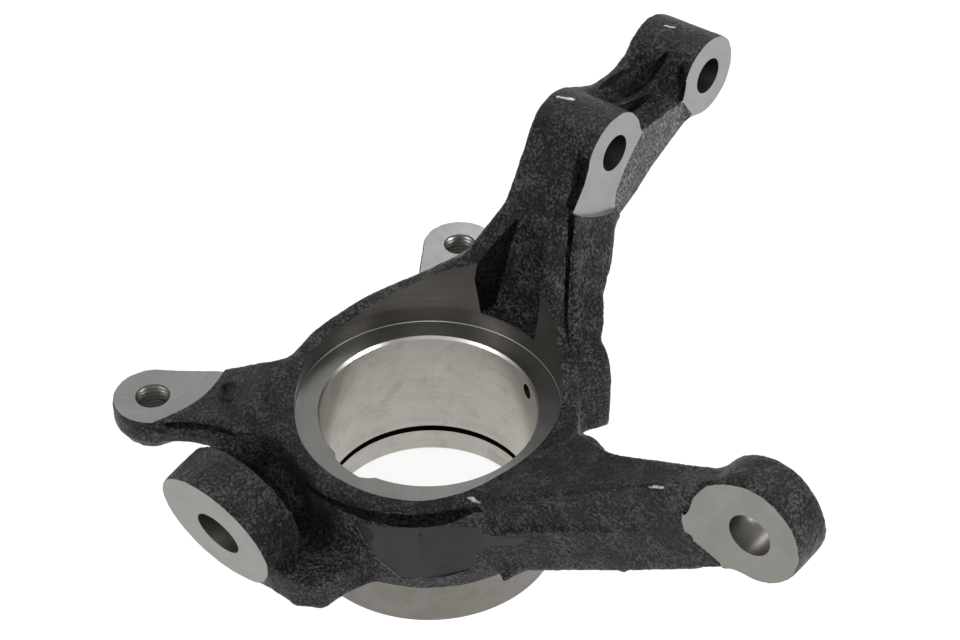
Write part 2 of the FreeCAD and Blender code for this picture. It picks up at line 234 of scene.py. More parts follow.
# small knocks that show bare iron, and a painted highlight on the arm's top edge drawn the same way: place, half length
# along its way, half width
knocksAndHighlight = {"belowRing": ((-6.9, -51.8, -4.9), (8.5, -1.2, 1.5), 1.6),
         "valleyEnd": ((-2.3, -53.0, -23.9), (4.9, -2.4, -0.2), 2.0),
         "collarOne": ((43.0, -28.6, 4.9), (7.4, -1.8, 1.0), 1.2),
         "lowStrut": ((-6.4, 83.4, 83.2), (5.2, 1.8, 0.2), 1.1),
         "highStrut": ((-2.4, 140.5, 85.9), (3.4, 0.8, 0.2), 0.9),
         "armEdgeHighlight": ((108.2, -20.7, 45.5), (6.5, 0.6, 3.8), 1.0)}


def paintedCastIron(name, pit="#010101", black="#101010", worn="#444444", shine=0.17):
    # nodular cast iron from a sand mould, dip-coated black: satin, with the sand's grain showing
    # through the coat as fine bright and dark specks, bare iron where it was knocked, and a painted highlight drawn as
    # bare iron on the arm's top edge
    look = {"pit": pit, "black": black, "worn": worn, "bare": "#a9a8a5", "grain": 0.55,
            "pits": 1.0, "lumps": 8.0, "reliefDepth": 1.4}
    material, tree = newMaterial(name)
    place = addNode(tree, "ShaderNodeTexCoord").outputs["Object"]
    grain = addNode(tree, "ShaderNodeTexNoise", {"Vector": place, "Scale": 1 / (look["grain"] * mm),
                                                 "Detail": 2.0, "Roughness": 0.65})
    pits = addNode(tree, "ShaderNodeTexVoronoi", {"Vector": place, "Scale": 1 / (look["pits"] * mm)},
                   feature="SMOOTH_F1")
    lumps = addNode(tree, "ShaderNodeTexNoise", {"Vector": place, "Scale": 1 / (look["lumps"] * mm),
                                                 "Detail": 4.0, "Roughness": 0.6})
    height = addNode(tree, "ShaderNodeMath", {0: grain.outputs[0], 1: pits.outputs["Distance"]},
                     operation="SUBTRACT")
    deep = addNode(tree, "ShaderNodeMapRange", {"Value": height.outputs[0], "From Min": -0.15,
                                                "From Max": 0.28})
    dark = addNode(tree, "ShaderNodeMix", {0: deep.outputs[0], 6: tint(look["pit"]), 7: tint(look["black"])},
                   data_type="RGBA")
    rubbed = addNode(tree, "ShaderNodeMath", {0: height.outputs[0], 1: lumps.outputs[0]}, operation="ADD")
    high = addNode(tree, "ShaderNodeMapRange", {"Value": rubbed.outputs[0], "From Min": 0.55,
                                                "From Max": 0.95})
    colour = addNode(tree, "ShaderNodeMix", {0: high.outputs[0], 6: dark.outputs[2], 7: tint(look["worn"])},
                     data_type="RGBA").outputs[2]
    metal = None
    wander = addNode(tree, "ShaderNodeVectorMath", {0: lumps.outputs["Color"], "Scale": 3 * mm},
                     operation="SCALE")
    strayed = addNode(tree, "ShaderNodeVectorMath", {0: place, 1: wander.outputs[0]}, operation="ADD")
    for middle, way, width in knocksAndHighlight.values():
        shift = Vector((1.5, 1.5, 1.5)) * mm
        along = Vector(way).normalized()
        off = addNode(tree, "ShaderNodeVectorMath", {0: strayed.outputs[0], 1: Vector(middle) * mm + shift},
                      operation="SUBTRACT")
        run = addNode(tree, "ShaderNodeVectorMath", {0: off.outputs[0], 1: along}, operation="DOT_PRODUCT")
        held = addNode(tree, "ShaderNodeClamp", {"Value": run.outputs["Value"],
                                                 "Min": -Vector(way).length / 2 * mm,
                                                 "Max": Vector(way).length / 2 * mm})
        reach = addNode(tree, "ShaderNodeVectorMath", {0: along, "Scale": held.outputs[0]}, operation="SCALE")
        gap = addNode(tree, "ShaderNodeVectorMath", {0: off.outputs[0], 1: reach.outputs[0]},
                      operation="DISTANCE")
        spot = addNode(tree, "ShaderNodeMapRange", {"Value": gap.outputs["Value"],
                                                    "From Min": width * 0.6 * mm, "From Max": width * 0.4 * mm})
        metal = spot.outputs[0] if metal is None else addNode(
            tree, "ShaderNodeMath", {0: metal, 1: spot.outputs[0]}, operation="MAXIMUM").outputs[0]
    colour = addNode(tree, "ShaderNodeMix", {0: metal, 6: colour, 7: tint(look["bare"])},
                     data_type="RGBA").outputs[2]
    gloss = addNode(tree, "ShaderNodeMapRange", {"Value": lumps.outputs[0], "From Min": 0.3,
                                                 "From Max": 0.7, "To Min": 0.3, "To Max": 0.42})
    relief = addNode(tree, "ShaderNodeBump", {"Strength": 1.0, "Distance": look["reliefDepth"] * mm,
                                              "Height": height.outputs[0]})
    skinShader = addNode(tree, "ShaderNodeBsdfPrincipled", {
        "Base Color": colour, "Metallic": metal, "Roughness": gloss.outputs[0],
        "Normal": relief.outputs[0], "Specular IOR Level": shine})
    addNode(tree, "ShaderNodeOutputMaterial", {"Surface": skinShader.outputs[0]})
    return material


def paintedGroundIron():
    # places fettled with a grinder before the coat: the same black, flatter, with faint scratches
    look = {"black": "#121213", "worn": "#1e1e1f", "scratch": 0.8, "cloud": 14.0, "reliefDepth": 0.06}
    material, tree = newMaterial("paintedGroundIron")
    place = addNode(tree, "ShaderNodeTexCoord").outputs["Object"]
    flat = addNode(tree, "ShaderNodeMapping", {"Vector": place, "Scale": (0.12, 0.12, 1.0)})
    scratch = addNode(tree, "ShaderNodeTexNoise", {"Vector": flat.outputs[0],
                                                   "Scale": 1 / (look["scratch"] * mm), "Detail": 3.0})
    cloud = addNode(tree, "ShaderNodeTexNoise", {"Vector": place, "Scale": 1 / (look["cloud"] * mm),
                                                 "Detail": 4.0, "Roughness": 0.6})
    both = addNode(tree, "ShaderNodeMath", {0: scratch.outputs[0], 1: cloud.outputs[0]}, operation="ADD")
    shade = addNode(tree, "ShaderNodeMapRange", {"Value": both.outputs[0], "From Min": 0.7,
                                                 "From Max": 1.3})
    colour = addNode(tree, "ShaderNodeMix", {0: shade.outputs[0], 6: tint(look["black"]),
                                             7: tint(look["worn"])}, data_type="RGBA")
    relief = addNode(tree, "ShaderNodeBump", {"Strength": 0.6, "Distance": look["reliefDepth"] * mm,
                                              "Height": scratch.outputs[0]})
    coat = addNode(tree, "ShaderNodeBsdfPrincipled", {
        "Base Color": colour.outputs[2], "Roughness": 0.4, "Normal": relief.outputs[0],
        "Specular IOR Level": 0.25})
    addNode(tree, "ShaderNodeOutputMaterial", {"Surface": coat.outputs[0]})
    return material


def machinedIron(name, marks, centre=(0, 0, 0), bright="#b9b7b2", dull="#9d9b96", stain=None, rough=0.34,
                 pitch=0.5, depth=0.02):
    # bare iron left by a cutter: grey metal with fine tool marks. The real marks are about
    # 0.15 mm apart and are drawn wider so that they show. A stain is dried oil, faint and warm
    material, tree = newMaterial(name)
    place = addNode(tree, "ShaderNodeTexCoord").outputs["Object"]
    local = addNode(tree, "ShaderNodeVectorMath", {0: place, 1: Vector(centre) * mm},
                    operation="SUBTRACT").outputs[0]
    parts = addNode(tree, "ShaderNodeSeparateXYZ", {0: local})
    pairs = {"ringsZ": ("X", "Y", "Z"), "ringsX": ("Y", "Z", "X"), "ringsY": ("X", "Z", "Y")}
    one, two, along = pairs[marks]
    flat = addNode(tree, "ShaderNodeCombineXYZ", {0: parts.outputs[one], 1: parts.outputs[two]})
    reach = addNode(tree, "ShaderNodeVectorMath", {0: flat.outputs[0]}, operation="LENGTH").outputs["Value"]
    track = addNode(tree, "ShaderNodeCombineXYZ", {0: reach, 1: parts.outputs[along]})
    lines = addNode(tree, "ShaderNodeTexNoise", {"Vector": track.outputs[0], "Scale": 1 / (pitch * mm),
                                                 "Detail": 2.0, "Roughness": 0.6})
    cloud = addNode(tree, "ShaderNodeTexNoise", {"Vector": place, "Scale": 1 / (9 * mm), "Detail": 5.0,
                                                 "Roughness": 0.6})
    both = addNode(tree, "ShaderNodeMath", {0: lines.outputs[0], 1: cloud.outputs[0]}, operation="ADD")
    shade = addNode(tree, "ShaderNodeMapRange", {"Value": both.outputs[0], "From Min": 0.7,
                                                 "From Max": 1.3})
    colour = addNode(tree, "ShaderNodeMix", {0: shade.outputs[0], 6: tint(dull), 7: tint(bright)},
                     data_type="RGBA").outputs[2]
    if stain:
        film = addNode(tree, "ShaderNodeTexNoise", {"Vector": place, "Scale": 1 / (16 * mm), "Detail": 6.0,
                                                    "Roughness": 0.7, "Distortion": 1.5})
        thick = addNode(tree, "ShaderNodeMapRange", {"Value": film.outputs[0], "From Min": 0.5,
                                                     "From Max": 0.72, "To Max": 0.6})
        colour = addNode(tree, "ShaderNodeMix", {0: thick.outputs[0], 6: colour, 7: tint(stain)},
                         data_type="RGBA").outputs[2]
    relief = addNode(tree, "ShaderNodeBump", {"Strength": 0.4, "Distance": depth * mm,
                                              "Height": lines.outputs[0]})
    metal = addNode(tree, "ShaderNodeBsdfPrincipled", {
        "Base Color": colour, "Metallic": 1.0, "Roughness": rough, "Normal": relief.outputs[0]})
    addNode(tree, "ShaderNodeOutputMaterial", {"Surface": metal.outputs[0]})
    return material


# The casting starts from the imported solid. Metal is added where the cutters will work, the whole is
# fused into one skin with cast fillets, and then it is machined, as the real part is.

bore = {"radius": 38.0, "mouth": 38.6, "lead": 1.25, "ring": 46.6, "corner": 0.22, "snapTop": -44.0,
        "snapLow": -46.6, "snap": 40.0, "foot": -57.0, "flare": 1.6, "top": 90.0, "boss": 47.3,
        "bossTop": -38.0, "scallop": (-0.7, -29.6, -4.0), "scallopRadius": 12.2, "drum": 47.6,
        "crest": [(-90, 1), (-38, 1), (-14, 6.6), (10, 8.3), (90, 8.3), (90, 120), (-90, 120)]}
arm = {"ramp": [(10, -20), (10, 8.3), (24, 13.8), (42.5, 26.5), (60, 56.8), (60, -20)],
       "front": [(-12.6, 90), (-12.6, 50), (-22, 29), (-33, 18.5), (-52, 8.3), (-52, -25), (36, -25),
                 (36, 10), (25.3, 20), (15.8, 42), (15.8, 90)],
       "plug": [(38, 4), (42.5, 26.5), (57.2, 52), (64, 52), (64, 4)],
       "rim": [(-47.5, -20, 4.4, 2.8), (-50.6, -5, 6.4, 2.8), (-50.2, 8, 6.8, 2.8), (-47.2, 19, 9.2, 2.8),
               (-43.0, 27.4, 11.4, 2.8), (-37.8, 34.2, 14.4, 2.8), (-31.3, 40.1, 18.6, 2.8),
               (-24.5, 44.8, 25.0, 2.4)],
       # mouth corners of the pocket, each with the corner of its back behind it
       "pocket": [((-13.2, 44.7, 7), (-12.1, 52, 7)), ((-14.3, 44.3, 17), (-10.3, 53, 17)),
                  ((-16.4, 43.2, 26.8), (-8.7, 53.9, 26)), ((-5.1, 55.2, 48.4), (-5.3, 56.0, 46)),
                  ((0, 56.4, 50.4), (0, 56.6, 48)), ((8.4, 55.6, 49.0), (8.2, 56.4, 47)),
                  ((10.6, 54.1, 46.3), (9.2, 56.0, 45)), ((14.6, 44.3, 27), (10.5, 54, 25)),
                  ((13.4, 44.7, 19), (10.5, 53, 17)), ((11.5, 45.2, 7), (10.5, 52, 7))],
       "groove": [(9.6, 70.6, 75.4, 0.3), (10.6, 69.0, 72.2, 1.3), (11.8, 65.9, 67.0, 1.6),
                  (13.6, 62.2, 60.6, 1.5), (15.3, 59.4, 55.2, 1.3), (15.5, 58.5, 45.0, 1.3),
                  (17.3, 55.4, 37.7, 1.25), (19.9, 51.4, 31.6, 1.2), (23.3, 47.0, 23.9, 1.1),
                  (26.4, 44.4, 18.8, 0.9), (30.4, 41.2, 15.4, 0.1)],
       "wedge": [(60.6, 57.2), (63.0, 65), (65.4, 71.5), (68.6, 77.5), (70.2, 74.5), (69.6, 70), (67.4, 64.4),
                 (62.0, 56.8)], "wedgeDepth": 11.3,
       "bead": [(15.6, 61.4, 54, 1.4), (15.6, 61.6, 42.3, 1.7), (18.0, 58.4, 36, 1.8), (20.8, 55.0, 29.6, 1.8),
                (23.8, 51.9, 22.8, 1.7), (26.2, 49.9, 19, 1.6), (31.8, 44.4, 13.6, 1.4), (36.2, 40.6, 7.4, 1.3),
                (36.9, 41.6, -2.2, 1.2), (37.5, 42.6, -13, 1.0)]}
lug = {"turn": 60.0, "reach": 65.2, "root": 48.0,
       "outline": [(-11, -17), (11, -16.2), (11, 3), (9.6, 8.4), (5.5, 12.3), (-11, 12.3)]}
web = {"rim": [(-9.6, 93, 78, 3.4), (-9.8, 103, 72.6, 3.4), (-9.8, 113, 71.0, 3.4), (-9.8, 121, 72.0, 3.4),
               (-9.6, 131, 77, 3.4)],
       "ridge": [(2.5, 92, 79, 2.6), (2.5, 101, 72.0, 2.6), (2.5, 112, 69.8, 2.6), (2.5, 123, 69.6, 2.6),
                 (2.5, 134, 75, 2.6)],
       "troughOne": [(-6.4, 96, 82, 0.6), (-6.4, 102, 77.8, 2.4), (-6.4, 111, 75.8, 2.8),
                     (-6.0, 118, 76.0, 2.8), (-5.4, 125, 78.4, 2.5), (-4.4, 134, 86, 0.6)],
       "troughTwo": [(-1.8, 105, 74.0, 0.6), (-1.6, 111, 71.8, 2.0), (-1.0, 119, 71.6, 2.2),
                     (0.6, 125.2, 74.6, 2.0), (3.0, 128.4, 80.4, 1.8), (3.6, 133, 86, 0.5)],
       "troughThree": [(4.6, 98, 78.0, 0.5), (4.8, 104, 71.8, 2.0), (5.0, 112, 70.9, 1.8),
                       (6.0, 121, 71.4, 0.6)],
       "troughFour": [(9.6, 130.0, 83, 0.3), (11.8, 127.4, 78.2, 1.8), (13.6, 125.6, 73.5, 2.1),
                      (14.6, 125.0, 68.5, 1.2)],
       # side of the web, which faces the right-hand lamp and takes a lighter copy of the cast iron as painted light
       "strip": [(102.2, 68.9), (109.5, 68.6), (117.4, 68.4), (126.4, 67.3), (132.6, 58.9), (120.0, 53.4),
                 (108.1, 47.7), (99.4, 41.7), (90.0, 37.5), (86.4, 43.1), (86.9, 50.1), (91.3, 57.4),
                 (96.3, 63.3)], "stripFace": 14.1}
strut = {"face": 14.5, "stock": 1.6, "back": -13.3, "radius": 15.5, "hole": 6.8, "cutter": 25.0,
         "low": (84.7, 68.4), "high": (141.4, 71.0), "lowCutter": (100.3, 101.5), "lowCutterRadius": 60.0,
         "foot": [(60.8, 53), (70, 44), (85.5, 43.4), (93, 56), (90, 70), (68, 68)]}
tie = {"x": 142.6, "z": 45.9, "face": -20.0, "thick": 16.0, "radius": 17.7, "hole": 7.3, "cutter": 26.0,
       "stock": 1.2}
steer = {"wrist": [(103, -23.6), (112, -20.7), (119, -19.2), (142, -16.6), (142, -40), (103, -40)],
         "border": [(103, 75), (140, 75), (128, 59.1), (124.2, 53), (122, 48.6), (121.2, 43.9), (120.6, 41.6),
                    (119.4, 39.4), (118.7, 40.0), (118.6, 37.1), (119.8, 33.4), (121.5, 31.4), (123.7, 31.1),
                    (127.9, 29.9), (133.6, 28.0), (138, 20), (138, -25), (103, -25)],
         "wristStock": [(114, 26), (132, 26), (132, 60.4), (126, 57.0), (114, 50)],
         "foot": [(46, -25.2, -31.5), (72, -22.7, -14.2), (104, -19.0, 2.6), (126, -16.8, 16.4)],
         "top": [(62, 4, 14.6, 2.2), (82, -4, 27.6, 2.4), (106, -8.4, 42.6, 2.4), (126, -12, 55, 2.2)],
         "corner": [(44, 8, -16), (44, 31, -14), (44, 8, 4), (52.3, 27, -1), (58.4, 20.8, 3.4),
                    (65.2, 15.8, 6.4), (75, 10.2, 11.2), (74, 0, 0), (60, 4, -14)],
         "parting": [(46.5, -29.4, -10.5), (68.5, -25.0, 3.5), (90, -22.3, 15.2), (123, -18.7, 34.4)],
         "lower": [(44, -25.4, -35), (72, -22.6, -16), (104, -19.0, 0.5), (126, -16.6, 15)],
         "seam": [(48, -28.8, -9.4, 0.7), (58, -27.0, -3, 1.1), (68.5, -25.0, 3.5, 1.2), (90, -22.3, 15.2, 1.2),
                  (112, -19.9, 28.4, 1.1), (121, -19.0, 33.4, 0.6)],
         "edge": [(48, -28.2, 5.6, 0.9), (61.7, -26.0, 13.6, 1.5), (77.5, -23.7, 25.6, 1.6),
                  (92.7, -21.9, 35.6, 1.6), (107.3, -20.2, 45.0, 1.5), (117, -19.6, 51.5, 0.9)],
         "drip": (97.0, -17.5, 0.4, 2.6)}
ball = {"hole": (-25.5, -79.95, -15.1), "boss": (-26.8, -80.0, -14.4), "tilt": 12.0, "radius": 24.0,
        "length": 17.0, "holeRadius": 9.1, "stock": 1.5, "pass": 3.0,
        # web of metal below the ear's root, behind the boss
        "flank": [(-52, -62, -36), (-39.6, -62, -36), (-39.6, -44, -36), (-54, -40, -34), (-52, -60, -14),
                  (-39.6, -60, -14), (-39.6, -42, -8), (-54, -40, -10)],
       # the housing's shoulder that runs straight across to the ear
       "shoulder": [(-56, -50.2, -11.5), (-42, -50.6, -9.8), (-28.5, -50.8, -11), (-23, -51, -13),
                    (-50, -34, -1.5), (-20, -34, -1.5), (-54, -50.5, -20), (-20, -51.8, -32), (-46, -30, -20),
                    (-9, -52.0, -34), (-9, -30, -28)],
       "crest": [(-49, -50.8, -10.6, 0.9), (-42.6, -50.8, -9.8, 1.3), (-35, -50.9, -10.4, 1.4),
                 (-28.5, -51.0, -11.4, 1.4), (-23, -51.1, -13.4, 1.4), (-16.8, -51.2, -18, 1.3),
                 (-11.6, -51.3, -23.2, 1.2), (-6, -51.6, -27, 0.9)],
       "wing": [(2, -76, -36), (8.2, -72.6, -36), (13, -61.7, -36), (16.2, -48.4, -36), (19.3, -44.1, -36),
                (0, -44, -36), (-2, -66, -26), (6.1, -62.1, -26), (6.6, -57.5, -26), (7.8, -51.2, -26),
                (13.9, -47.4, -18), (0, -44, -20)]}
ears = {"face": -1.4, "thick": 10.0, "radius": 14.4, "hole": 6.15, "thread": 6.5, "pitch": 1.5, "pad": 4.5,
        "stock": 1.0, "cutter": 43.0, "cutterAway": (-28.4, 9.5), "low": (-80.1, -55.3, 38.0),
        "high": (-51.0, 79.1, -56.0), "mark": (-57.9, -38.6, 2.0), "markRadius": 4.2,
        "seam": [(-76, -69, -5.0, 0.6), (-72.1, -67.0, -5.2, 0.9), (-66.8, -62.7, -6.0, 1.1),
                 (-60, -57.4, -6.8, 1.1), (-54.5, -53.4, -7.2, 1.1), (-49, -51.2, -8.2, 0.8)],
        "tear": [(-69.5, -63.4, -2.2, 0.3), (-66, -61.0, -2.6, 1.3), (-61.6, -58.0, -2.8, 1.5),
                 (-57, -55.2, -2.8, 1.5), (-52.4, -52.4, -2.9, 1.4), (-47.1, -50.6, -3.2, 1.2),
                 (-41, -49.2, -4.6, 0.2)]}
housing = {"crease": [(-12, -51.4, -5.8, 1.2), (-3, -51.8, -4.8, 1.6), (9.1, -51.0, -4.4, 2.2),
                      (19.7, -47.9, -3.8, 2.8), (29, -42.7, -3.4, 3.2), (36.5, -36.5, -2.4, 3.0),
                      (42, -31.4, -0.4, 2.2), (47, -29.0, 2.4, 1.4)],
           # three flats left by the grinder and one on the root of the arm, with cast skin between
           "flats": [(0.9, -52.1), (16.9, -49.2), (31.3, -41.6), (42.4, -30.2), (46.8, -28.0), (60, -25.5), (66, -25.1),
                     (70, -30), (46, -35), (36, -47), (19, -54), (1, -57)],
           "flatsReach": [(11, -9), (18, -7.6), (26, -7), (36, -5.5), (47, -8.4), (57, -5.5), (66, -3.4),
                          (57, -17), (45, -27.5), (38, -30), (25, -31.8), (19, -25), (14, -17)]}
skin = {"voxel": 1.0, "fillet": 1.7, "softness": 2, "lumps": 11.0, "lumpDepth": 0.36, "grain": 2.6,
        "grainDepth": 0.34, "triangles": 165000}

ballWay = Vector((0, -math.cos(math.radians(ball["tilt"])), -math.sin(math.radians(ball["tilt"]))))

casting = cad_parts["knuckle"].copy()
casting.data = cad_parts["knuckle"].data.copy()
casting.name = "knuckleCasting"
casting.parent = None
casting.data.materials.clear()
bpy.context.collection.objects.link(casting)
pickOnly(casting)
bpy.ops.object.mode_set(mode="EDIT")
bpy.ops.mesh.select_all(action="SELECT")
bpy.ops.mesh.remove_doubles(threshold=1e-6)
bpy.ops.object.mode_set(mode="OBJECT")

# metal in the bore and above the ring face, up to the cast crest
drum = rod("drum", (0, 0, bore["foot"]), (0, 0, 1), bore["drum"], 120)
carved(drum, prism("aboveCrest", "YZ", bore["crest"], -90, 90), keepFinish=False)
ramp = prism("ramp", "YZ", arm["ramp"], -60, 60)
carved(ramp, prism("front", "XZ", arm["front"], 0, 90), keepFinish=False, operation="INTERSECT")
carved(ramp, rod("column", (0, 0, -20), (0, 0, 1), bore["drum"], 120), keepFinish=False,
       operation="INTERSECT")

stock = [casting, drum, ramp, prism("pocketPlug", "YZ", arm["plug"], -12, 13.5)]
for y, z in (strut["low"], strut["high"]):
    stock.append(rod("strutStock", (strut["back"], y, z), (1, 0, 0), strut["radius"] - 0.9,
                     strut["face"] + strut["stock"] - strut["back"], strut["radius"]))
stock.append(prism("strutFoot", "YZ", strut["foot"], 6, strut["face"] + strut["stock"]))
stock.append(rod("tieStock", (tie["x"], tie["face"] - tie["stock"], tie["z"]), (0, 1, 0), tie["radius"],
                 tie["thick"] + tie["stock"]))
stock.append(rod("ballStock", Vector(ball["boss"]) + ballWay * ball["stock"], -ballWay, ball["radius"],
                 ball["length"] + ball["stock"]))
for x, y, turn in (ears["low"], ears["high"]):
    stock.append(rod("earStock", (x, y, ears["face"] - ears["thick"] - ears["pad"]), (0, 0, 1), 12.0,
                     ears["thick"] + ears["pad"]))
    stock.append(rod("earStock", (x, y, ears["face"] - 8), (0, 0, 1), ears["radius"], 8 + ears["stock"]))
    level = ears["face"] + ears["stock"]
    bar = prism("earStock", "XZ", [(0, -6), (40, -6), (40, 5.5), (18.5, level), (0, level)], -13, 13)
    bar.rotation_euler = (0, 0, math.radians(turn))
    bar.location = (x * mm, y * mm, 0)
    stock.append(settle(bar))
stock += [facetted("flank", ball["flank"]),
          rod("bossStock", (0, 0, bore["foot"] - 1.5), (0, 0, 1), bore["boss"] + 1.2, 21), facetted("shoulder", ball["shoulder"]), facetted("wing", ball["wing"]),
          facetted("corner", steer["corner"]), strand("webRim", web["rim"]), strand("webRidge", web["ridge"]),
          strand("housingRim", arm["rim"]), strand("armTop", steer["top"]),
          rod("tieBack", (tie["x"] - 1.2, tie["face"] + 1, tie["z"] + 2.1), (0, 1, 0), 17.4,
              tie["thick"] - 1.2),
          prism("wristStock", "XZ", steer["wristStock"], tie["face"] - 0.9, tie["face"] + 6)]
away = Vector((math.cos(math.radians(lug["turn"])), math.sin(math.radians(lug["turn"])), 0))
side = Vector((away.y, -away.x, 0))
stock.append(facetted("lug", [away * reach + side * across + Vector((0, 0, height))
                              for across, height in lug["outline"] for reach in (lug["root"], lug["reach"])]))
stock.append(facetted("armFoot", [(x, y + back, z + lift) for x, y, z in steer["foot"]
                                  for back, lift in ((0, 0), (8, 0), (0, 7), (8, 7))]))
casting = joined("knuckleCasting", stock)
fused(casting, skin["voxel"])
print("stage: stock fused,", len(casting.data.polygons), "faces")

# the steering arm's front drafts back below the parting line, and stops short of the tie rod face
outer = [(x, -42, z) for x, y, z in steer["parting"] + steer["lower"]]
carved(casting, facetted("draft", steer["parting"] + steer["lower"] + outer), keepFinish=False)
fused(casting, skin["voxel"])

# cast fillets: out by the fillet's radius, in again, then softened edges
swollen(casting, skin["fillet"])
fused(casting, skin["voxel"])
swollen(casting, -skin["fillet"])
fused(casting, skin["voxel"])
applied(casting, "SMOOTH", factor=0.5, iterations=skin["softness"])
casting = joined("knuckleCasting", [
    casting, strand("seam", steer["seam"]), strand("edge", steer["edge"]), strand("bead", arm["bead"]),
    strand("earSeam", ears["seam"]), strand("crest", ball["crest"]), rod("drip", steer["drip"][:3], (0, 0.3, -1), steer["drip"][3], 2.4, 1.6),
    prism("strip", "YZ", web["strip"], 8, web["stripFace"] + 0.8)])
fused(casting, skin["voxel"])
applied(casting, "SMOOTH", factor=0.5, iterations=1)
roughened(casting, skin["lumps"], skin["lumpDepth"], detail=2)
roughened(casting, skin["grain"], skin["grainDepth"])
swollen(casting, -0.12)
count = sum(len(face.vertices) - 2 for face in casting.data.polygons)
if count > skin["triangles"]:
    applied(casting, "DECIMATE", ratio=skin["triangles"] / count)
print("stage: cast skin,", len(casting.data.polygons), "faces")

castSkin = paintedCastIron("paintedCastIron")
# painted light: a lighter copy of the cast iron for the side of the web that faces the right-hand lamp
paintedLightSkin = paintedCastIron("paintedLightCastIron", pit="#242423", black="#4a4a48", worn="#696966")
# painted shade: a blacker copy of the cast iron for hollows, creases and the pocket's left wall, where shade falls
paintedShadeSkin = paintedCastIron("paintedShadeCastIron", pit="#000000", black="#080808", worn="#202020", shine=0.09)
groundSkin = paintedGroundIron()
casting.data.materials.clear()
casting.data.materials.append(castSkin)


def finished(piece, *finishes):
    piece.data.materials.clear()
    for finish in finishes:
        piece.data.materials.append(finish)
    return piece


pocketCorners = []
for mouth, back in arm["pocket"]:
    out = Vector((0, -2.4, 0)) if mouth[2] < 26 else Vector((0, -2.1, 1.2))
    pocketCorners += [Vector(back), Vector(mouth) + out]
wrist = prism("wrist", "XZ", steer["border"], -60, 0)
carved(wrist, prism("slant", "XY", steer["wrist"], -40, 90), keepFinish=False, operation="INTERSECT")
# hollows left by the mould, with rims that stay crisp; their walls take the painted-shade copy of the cast iron
for tool in [strand("groove", arm["groove"]), prism("wedge", "YZ", arm["wedge"], arm["wedgeDepth"], 19), strand("troughOne", web["troughOne"]),
             strand("troughTwo", web["troughTwo"]), strand("troughThree", web["troughThree"]),
             strand("troughFour", web["troughFour"]), strand("tear", ears["tear"]),
             roughened(fused(strand("crease", housing["crease"]), 0.7), 3.0, 0.8)]:
    carved(casting, finished(tool, paintedShadeSkin))
carved(casting, finished(wrist, castSkin))
pocket = finished(facetted("pocket", pocketCorners), castSkin, paintedShadeSkin)
# painted shade: the pocket's left wall, facing +x, takes the blacker copy of the cast iron
for face in pocket.data.polygons:
    face.material_index = 1 if face.normal.x < -0.4 else 0
carved(casting, pocket)
# painted light: the web's side strip takes the lighter copy of the cast iron
carved(casting, finished(prism("stripCut", "YZ", web["strip"], web["stripFace"], 20), paintedLightSkin))
print("stage: cast hollows,", len(casting.data.polygons), "faces")

turnedBore = machinedIron("turnedIronBore", "ringsZ", bright="#b5b1aa", dull="#a5a19b", stain="#8d8377",
                          rough=0.3, pitch=0.7, depth=0.01)
turnedRing = machinedIron("turnedIronRing", "ringsZ", bright="#6e6d6b", dull="#5f5e5c", rough=0.36, depth=0.01)
turnedWall = machinedIron("turnedIronRecess", "ringsZ", bright="#6f6c68", dull="#5d5b58", rough=0.32,
                          pitch=0.9, depth=0.01)
turnedEdge = machinedIron("turnedIronChamfer", "ringsZ", bright="#bcbbb9", dull="#aeadaa", rough=0.3)
# painted shade: a near-black copy of the turned iron for the snap ring groove and the sensor hole
snapPaintedShade = machinedIron("turnedIronPaintedShade", "ringsZ", bright="#3a3835", dull="#1f1e1c", rough=0.5)
turnedFoot = machinedIron("turnedIronFoot", "ringsZ", bright="#7f7b76", dull="#706c67", stain="#6b6359",
                          rough=0.34, pitch=0.8, depth=0.01)
milledStrut = machinedIron("milledIronStrut", "ringsX", (0, 104.0, 30.0), bright="#939391", dull="#858583",
                           depth=0.012)
milledTie = machinedIron("milledIronTie", "ringsY", (190.0, 0, 20.0), bright="#898782", dull="#7a7873",
                         depth=0.012)
milledBall = machinedIron("milledIronBall", "ringsY", (-70.0, 0, 25.0), bright="#898783", dull="#797773",
                          depth=0.012)
milledEar = machinedIron("milledIronEar", "ringsZ", (-108.5, -45.8, 0), bright="#898887", dull="#777675",
                         depth=0.012)
drilled = machinedIron("drilledIron", "ringsX", (0, 84.7, 68.4), bright="#7d7b77", dull="#5d5b58", rough=0.38)

# the flare runs on 1 mm below the foot, so that no corner of the cutter lies in the foot's plane
lathe = turned("boreCut", [
    (bore["radius"] + bore["flare"] + 1, bore["foot"] - 20), (bore["radius"] + bore["flare"] + 1, bore["foot"] - 1),
    (bore["radius"], bore["foot"] + bore["flare"]), (bore["radius"], bore["snapLow"]),
    (bore["snap"], bore["snapLow"]), (bore["snap"], bore["snapTop"]), (bore["radius"], bore["snapTop"]),
    (bore["radius"], -bore["lead"]), (bore["mouth"], 0), (bore["ring"] - bore["corner"], 0),
    (bore["ring"], bore["corner"]), (bore["ring"], bore["top"])])
finished(lathe, turnedBore, turnedRing, turnedWall, turnedEdge, snapPaintedShade)
for face in lathe.data.polygons:
    height = face.center.z / mm
    # the snap ring groove takes the painted-shade iron
    if bore["snapLow"] - 0.1 < height < bore["snapTop"] + 0.1:
        face.material_index = 4
    elif -bore["lead"] < height < -0.1:
        face.material_index = 3
    elif abs(height) <= 0.15:
        face.material_index = 1
    elif height > bore["corner"]:
        face.material_index = 2

